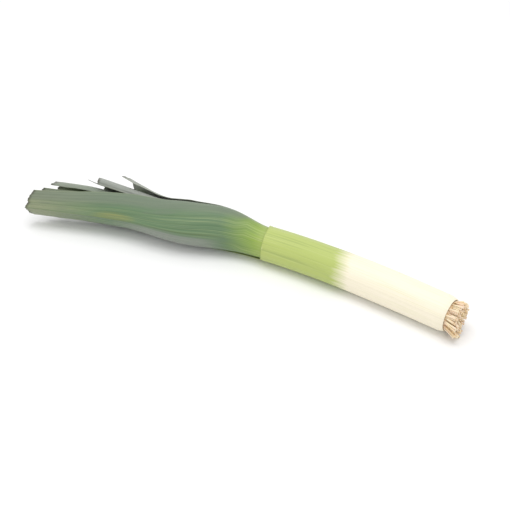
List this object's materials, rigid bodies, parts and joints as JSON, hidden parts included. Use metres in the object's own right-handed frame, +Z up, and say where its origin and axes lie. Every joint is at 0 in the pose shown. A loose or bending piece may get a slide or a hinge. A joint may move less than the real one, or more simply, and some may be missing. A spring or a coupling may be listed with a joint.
{
  "type": "leek",
  "caption": "A whole trimmed leek lying on its side, with a white shank, green folded leaves cut short and a tuft of clipped roots.",
  "frame": {"origin": "middle of the bounding box seen from above, on the surface the leek lies on", "axes": "+Z up from the surface, +X from the cut leaves towards the roots, -Y the side the second leaf's keel faces"},
  "size_m": [0.4558, 0.0886, 0.0458],
  "materials": {
    "leaf_1_back": "satin, waxy leaf, white to green along its length",
    "leaf_2_front": "satin, waxy leaf, white to green along its length",
    "leaf_3_back": "satin, waxy leaf, white to green along its length",
    "leaf_4_front": "satin, waxy leaf, white to green along its length",
    "leaf_5_back": "satin, waxy leaf, white to green along its length",
    "leaf_6_front": "satin, waxy leaf, white to green along its length",
    "leaf_7_back": "satin, waxy leaf, white to green along its length",
    "leaf_8_heart": "satin, waxy leaf, white to green along its length",
    "root_plate": "matte, fibrous cut roots"
  },
  "bodies": {
    "root": {"leaf_1_back": "leaf_1_back", "leaf_2_front": "leaf_2_front", "leaf_3_back": "leaf_3_back", "leaf_4_front": "leaf_4_front", "leaf_5_back": "leaf_5_back", "leaf_6_front": "leaf_6_front", "leaf_7_back": "leaf_7_back", "leaf_8_heart": "leaf_8_heart", "root_plate": "root_plate"}
  },
  "joints": []
}
